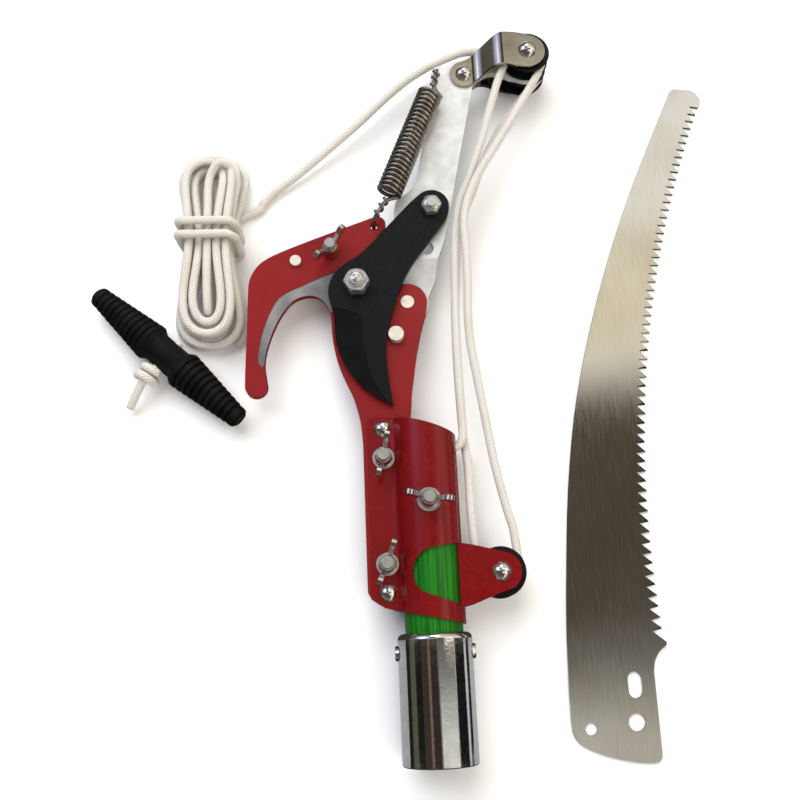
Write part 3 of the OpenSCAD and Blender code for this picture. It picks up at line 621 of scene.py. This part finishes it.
# ---------------------------------------------------------------- return spring
SPRING_LOW, SPRING_HIGH = (Vector(end) for end in BENDS["return_spring"])
COIL_R, WIRE_R, COILS, SPRING_Z = 5.4, 1.0, 24, 8.9
BOW, BOW_RUN = 2.0, 14.0
COIL_FROM, COIL_TO, TURN_STEPS = 15.4, 15.8, 24
TWIST_R, TWIST_DROP, TWIST_TURNS, TWIST_STEPS = 1.3, 0.7, 2.5, 24
TWIST_WIRE_R = WIRE_R * 0.75
spring_way = (SPRING_HIGH - SPRING_LOW).normalized()
spring_side = Vector((spring_way.y, -spring_way.x, 0))
SPAN = (SPRING_HIGH - SPRING_LOW).length
UP = Vector((0, 0, 1))


def on_spring(s, r=0.0, a=0.0, drop=0.0):
    """A place by the spring's line, which stands a little to one side between its hooks."""
    out = BOW * ease(s / BOW_RUN) * ease((SPAN - s) / BOW_RUN) + r * math.cos(a)
    return SPRING_LOW + s * spring_way + out * spring_side + (SPRING_Z - drop + r * math.sin(a)) * UP


def twist(start, end):
    """A strand wound round the straight end of the spring's wire."""
    run = []
    for t in (k / TWIST_STEPS for k in range(TWIST_STEPS + 1)):
        drop = TWIST_DROP * (1 - math.sin(math.pi * t))
        run.append(on_spring(mix(start, end, t), TWIST_R, 2 * math.pi * TWIST_TURNS * t, drop))
    return run


wire = [SPRING_LOW - 2.4 * UP, SPRING_LOW + 2 * UP, on_spring(0.4, drop=3.2), on_spring(3, drop=1)]
wire += [on_spring(8), on_spring(11.6, 0.6), on_spring(13.6, 2.6)]
for k in range(TURN_STEPS * COILS + 1):
    s = mix(COIL_FROM, SPAN - COIL_TO, k / (TURN_STEPS * COILS))
    wire.append(on_spring(s, COIL_R, 2 * math.pi * k / TURN_STEPS))
wire += [on_spring(SPAN - 14, 2.6), on_spring(SPAN - 12, 0.6), on_spring(SPAN - 8)]
wire += [on_spring(SPAN - 3, drop=1), on_spring(SPAN - 0.4, drop=3.2)]
wire += [SPRING_HIGH + 2 * UP, SPRING_HIGH - 1.9 * UP]
spring = tube("spring_wire", spaced(catmull(wire, 3), 1.1), WIRE_R, 10, WIRE)
low_twist = tube("spring_twist_low", twist(2.6, 12.6), TWIST_WIRE_R, 8, WIRE)
high_twist = tube("spring_twist_high", twist(SPAN - 12.6, SPAN - 3), TWIST_WIRE_R, 8, WIRE)
for strand in (spring, low_twist, high_twist):
    bend_with_lever(strand)
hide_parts("return_spring")


# ---------------------------------------------------------------- plates, blades and pressed sheet
LAND_Z, GRIND_Z, BLADE_Z = 1.6, 5.85, 3.05


def lies_at(c, n, z):
    """Whether a face looks up from the height z."""
    return n.z > 0.9 and abs(c.z - z) < 0.05


def on_land(c, n):
    return int(lies_at(c, n, LAND_Z))


def on_blade(c, n):
    """The hollow ground face is 1, and the cutting edge's own small facets are 2."""
    if lies_at(c, n, GRIND_Z):
        return 1
    return 2 if c.y < 200 and c.z > BLADE_Z + 1 and n.x < -0.2 and n.z < 0.95 else 0


ease_edges("hook_plate", 0.45, "red_enamel", RED, LAND, choose=on_land)
ease_edges("blade", 0.3, "black_oxide", OXIDE, GROUND, EDGE, choose=on_blade)
ease_edges("lever", 0.7, "lever_zinc", LEVER)
ease_edges("clamp_sleeve", 0.3, "sleeve_enamel", SLEEVE_RED, limit=50.0)
ease_edges("pole_stub", 0.4, "green_paint", GREEN)
ease_edges("ferrule", 0.3, "chrome", CHROME, limit=50.0)
ease_edges("pull_handle", 0.25, "handle_plastic", HANDLE, limit=30.0)


SLEEVE_R, FLANGE_Z, FILLET = 13.85, 3.3, 4.0
FILLET_FROM, FILLET_RUN = 62.8, 84.8
INNER_CORNER = Vector((-12.6, 3.1))


def sleeve_fillet(name, up):
    """The hollow round from the sleeve's flange to its tube, on the front (up 1) or the back (up -1)."""
    middle = Vector((-math.sqrt((SLEEVE_R + FILLET) ** 2 - (FLANGE_Z + FILLET) ** 2), FLANGE_Z + FILLET))
    last = math.atan2(-middle.y, -middle.x)
    turns = [mix(-math.pi / 2, last, k / 8) for k in range(9)]
    arc = [middle + FILLET * Vector((math.cos(a), math.sin(a))) for a in turns]
    bm = bmesh.new()
    corners = [bm.verts.new((q.x * MM, FILLET_FROM * MM, q.y * up * MM)) for q in [*arc, INNER_CORNER]]
    sweep = bmesh.ops.extrude_face_region(bm, geom=[bm.faces.new(corners)])["geom"]
    swept = [v for v in sweep if isinstance(v, bmesh.types.BMVert)]
    bmesh.ops.translate(bm, verts=swept, vec=(0, FILLET_RUN * MM, 0))
    bmesh.ops.recalc_face_normals(bm, faces=bm.faces)
    shade_smooth(bm)
    fillet = piece(name, bm, SLEEVE_RED)
    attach(fillet, "head")


sleeve_fillet("sleeve_fillet_front", 1)
sleeve_fillet("sleeve_fillet_back", -1)


LEVER_TOP, LEVER_LOW, CHEEK_STEP = 2.0, -1.5, 9.1
BEND, BEND_RUN = 3.0, 10.0
BENDS_IN, BENDS_OUT = (36.4, 46.4), (35.9, 45.9)
STRIPS_FROM, STRIPS, STRIP = (32.9, 42.9), 14, 0.5


def pressed_cheek(node, up):
    """A cheek plate cut in strips at its two bends, which are then pressed round, and its outline eased."""
    bm = cad_copy(node)
    for first in STRIPS_FROM:
        for k in range(STRIPS):
            whole = bm.verts[:] + bm.edges[:] + bm.faces[:]
            place = ((first + STRIP * k) * MM, 0, 0)
            bmesh.ops.bisect_plane(bm, geom=whole, dist=1e-7, plane_co=place, plane_no=(1, 0, 0))
    slope = CHEEK_STEP / BEND_RUN
    for vert in bm.verts:
        x, z = vert.co.x / MM, vert.co.z / MM
        height = z - LEVER_TOP if up > 0 else LEVER_LOW - z
        inner = slope * min(max(x - BENDS_IN[0], 0.0), BEND_RUN)
        bends = BENDS_IN if height - inner < 0.3 else BENDS_OUT
        for bend, turn in zip(bends, (slope, -slope)):
            reach = max(BEND - abs(x - bend), 0.0)
            vert.co.z += up * turn * reach**2 / (4 * BEND) * MM
    bm.normal_update()
    bevel(bm, [e for e in sharp_edges(bm, 60.0) if e.is_convex], 0.3, 2)
    dress(node, bm, "nickel", NICKEL)


pressed_cheek("front_cheek", 1)
pressed_cheek("back_cheek", -1)

TEETH, FACET, LONGEST_RAKE = 60, 0.9, 7.0
# the line of the teeth, as in the part's source: a curve in y, with the teeth closer towards the saw's tip
TEETH_FROM, TEETH_TO, CROWDING, TIP_AT = 50.0, 317.0, 0.09, 0.2
LINE_X, LINE_Y, LINE_CURVE = 101.6, 80, 0.00093
SAW_TOP = TABLE + 1.2


def tooth_tip(i):
    t = (i + TIP_AT) / TEETH
    y = mix(TEETH_FROM, TEETH_TO, t + CROWDING * t * (1 - t))
    return Vector((LINE_X + LINE_CURVE * (y - LINE_Y) ** 2, y, SAW_TOP))


def ground_saw():
    """The saw with a facet ground on the rake side of every other tooth."""
    bm = cad_copy("saw_blade")
    rakes = []
    for i in range(0, TEETH, 2):
        tip = min(bm.verts, key=lambda v: (v.co / MM - tooth_tip(i)).length)
        flat_edges = [e for e in tip.link_edges if abs(e.verts[0].co.z - e.verts[1].co.z) < 1e-6]
        lower = [e for e in flat_edges if e.other_vert(tip).co.y < tip.co.y]
        short = [e for e in lower if e.calc_length() < LONGEST_RAKE * MM]
        rakes += [e for e in short if any(abs(f.normal.z) < 0.1 for f in e.link_faces)]
    bevel(bm, rakes, FACET, 1, clamp=False)
    dress("saw_blade", bm, "saw_steel", SAW)


ground_saw()

# ---------------------------------------------------------------- fasteners and wheels
SMALL = {
    ("bright_rivet", BRIGHT, 0.15): [
        "sleeve_rivets", "pulley_axle", "cheek_rivet", "sheave_axle", "ferrule_rivets"
    ],
    ("cream_rivet", CREAM, 0.2): ["saw_pin", "stop_pin", "lever_rivet"],
    ("zinc", ZINC, 0.25): ["clamp_washers", "saddle_washer", "pivot_nut", "pivot_washer", "link_nut"],
    ("zinc", THREAD, 0.25): ["clamp_bolts", "pole_bolt", "saw_bolt", "pivot_bolt", "link_bolt"],
    ("black_plastic", SHEAVE, 0.2): ["front_sheave", "back_sheave", "lower_pulley"],
    ("cast_zinc", CAST, 0.5): ["wing_nut_upper", "wing_nut_lower", "wing_nut_pole", "wing_nut_saw"],
    ("rope", YARN, 0.3): ["tie_knot"],
}
for (slot, finish, width), nodes in SMALL.items():
    for node in nodes:
        ease_edges(node, width, slot, finish)


# ---------------------------------------------------------------- floor, light and world
AIM = Vector((0.0, 0.17, 0.0))


def pale_floor():
    bm = bmesh.new()
    bmesh.ops.create_grid(bm, x_segments=1, y_segments=1, size=6.0)
    bmesh.ops.translate(bm, verts=bm.verts, vec=(0.0, 0.15, TABLE * MM - 0.0002))
    paper = Finish("pale_paper", Roughness=0.8, Specular_IOR_Level=0.1)
    paper.set(Base_Color=paper.place().noise(400.0, 2.0).shade((0.92, 0.92, 0.92), (0.94, 0.94, 0.94)))
    floor = piece("floor", bm, paper)
    floor.visible_glossy = False


def soft_light(name, place, size, power, colour):
    light = bpy.data.lights.new(name, "AREA")
    light.shape = "DISK"
    light.size = size
    light.energy = power
    light.color = colour
    obj = bpy.data.objects.new(name, light)
    obj.location = place
    obj.rotation_euler = (AIM - Vector(place)).to_track_quat("-Z", "Y").to_euler()
    obj.visible_glossy = False
    scene.collection.objects.link(obj)


def studio_world():
    """A dark room with a window, a warm lamp, a pale wall, a high panel and strips for the bright tube."""
    world = bpy.data.worlds.new("studio")
    scene.world = world
    tree = Tree(world)
    x, y, z = tree.add("TexCoord", {}, {}, "Generated").split()
    side, far = x.angle_from(z), y.angle_from(z)

    def patch(place, inner, outer):
        way = Vector(place).normalized()
        near = x * way.x + y * way.y + z * way.z
        return near.rise(math.cos(math.radians(outer)), math.cos(math.radians(inner)))

    belt = y.band(-0.13, 0.015, 0.015)
    tube_strips = [
        (-190, -104, (0.42, 0.42, 0.43)),
        (-104, -88, (0.012, 0.016, 0.01)),
        (-88, -69, (0.1, 0.1, 0.07)),
        (-69, -46, (0.012, 0.012, 0.01)),
        (-46, -27, (0.05, 0.035, 0.028)),
        (-26, -20, (0.2, 0.14, 0.1)),
        (-19, 2, (0.035, 0.026, 0.022)),
        (3, 57, (0.17, 0.16, 0.14)),
        (58, 93, (0.01, 0.01, 0.01)),
        (94, 104, (0.6, 0.6, 0.6)),
        (104, 116, (0.14, 0.14, 0.14)),
        (116, 190, (0.46, 0.46, 0.47)),
    ]
    window, lamp = (-0.6, 0.45, 0.66), (0.66, -0.08, 0.75)
    above = z.rise(0.0, 0.1)
    wall = far.rise(14, 18.5) * far.rise(33.5, 36.8, 1.0, 0.42) * side.rise(-3, 5)
    panel = far.band(43, 64, 4) * side.band(-20, 16, 5)
    layers = [
        (z.band(0.14, 0.5, 0.08), (0.2, 0.195, 0.18)),
        (side.band(30, 62, 4) * y.rise(-0.03, 0.09, 1.0, 0.0) * above, (0.8, 0.74, 0.6)),
        (wall * above, (1.25, 1.24, 1.2)),
        (panel * above, (3.3, 3.2, 3.05)),
        (far.band(17.5, 26, 2.5) * side.band(7, 40, 3), (1.1, 1.02, 0.8)),
        (side.band(5, 26, 4) * far.band(-18, -8.5, 2), (1.45, 1.4, 1.3)),
        (y.band(0.04, 0.25, 0.03) * side.band(-26, 2, 5), (0.5, 0.47, 0.43)),
        (patch(window, 15, 25), (0.75, 0.95, 1.6)),
        (patch(window, 7, 12), (2.4, 2.7, 3.3)),
        (patch(lamp, 11, 19), (1.9, 1.7, 1.35)),
    ]
    layers += [(side.band(start, end, 1.5) * belt, shade) for start, end, shade in tube_strips]
    layers.append((side.band(6, 56, 2) * belt * y.rise(-0.11, 0.0, 1.0, 0.0), (0.75, 0.74, 0.69)))
    colour = z.rise(-0.2, 0.3).shade((0.05, 0.043, 0.036), (0.105, 0.091, 0.07))
    for level, shade in layers:
        colour = level.shade(colour, shade)
    tree.feed(tree.nodes["Background"].inputs["Color"], colour)


pale_floor()
soft_light("key", (-0.35, 0.75, 1.0), 1.2, 12.5, (1.0, 0.99, 0.97))
soft_light("fill", (0.5, -0.5, 1.1), 1.4, 8.5, (1.0, 0.98, 0.95))
studio_world()
scene.view_settings.view_transform = "Standard"
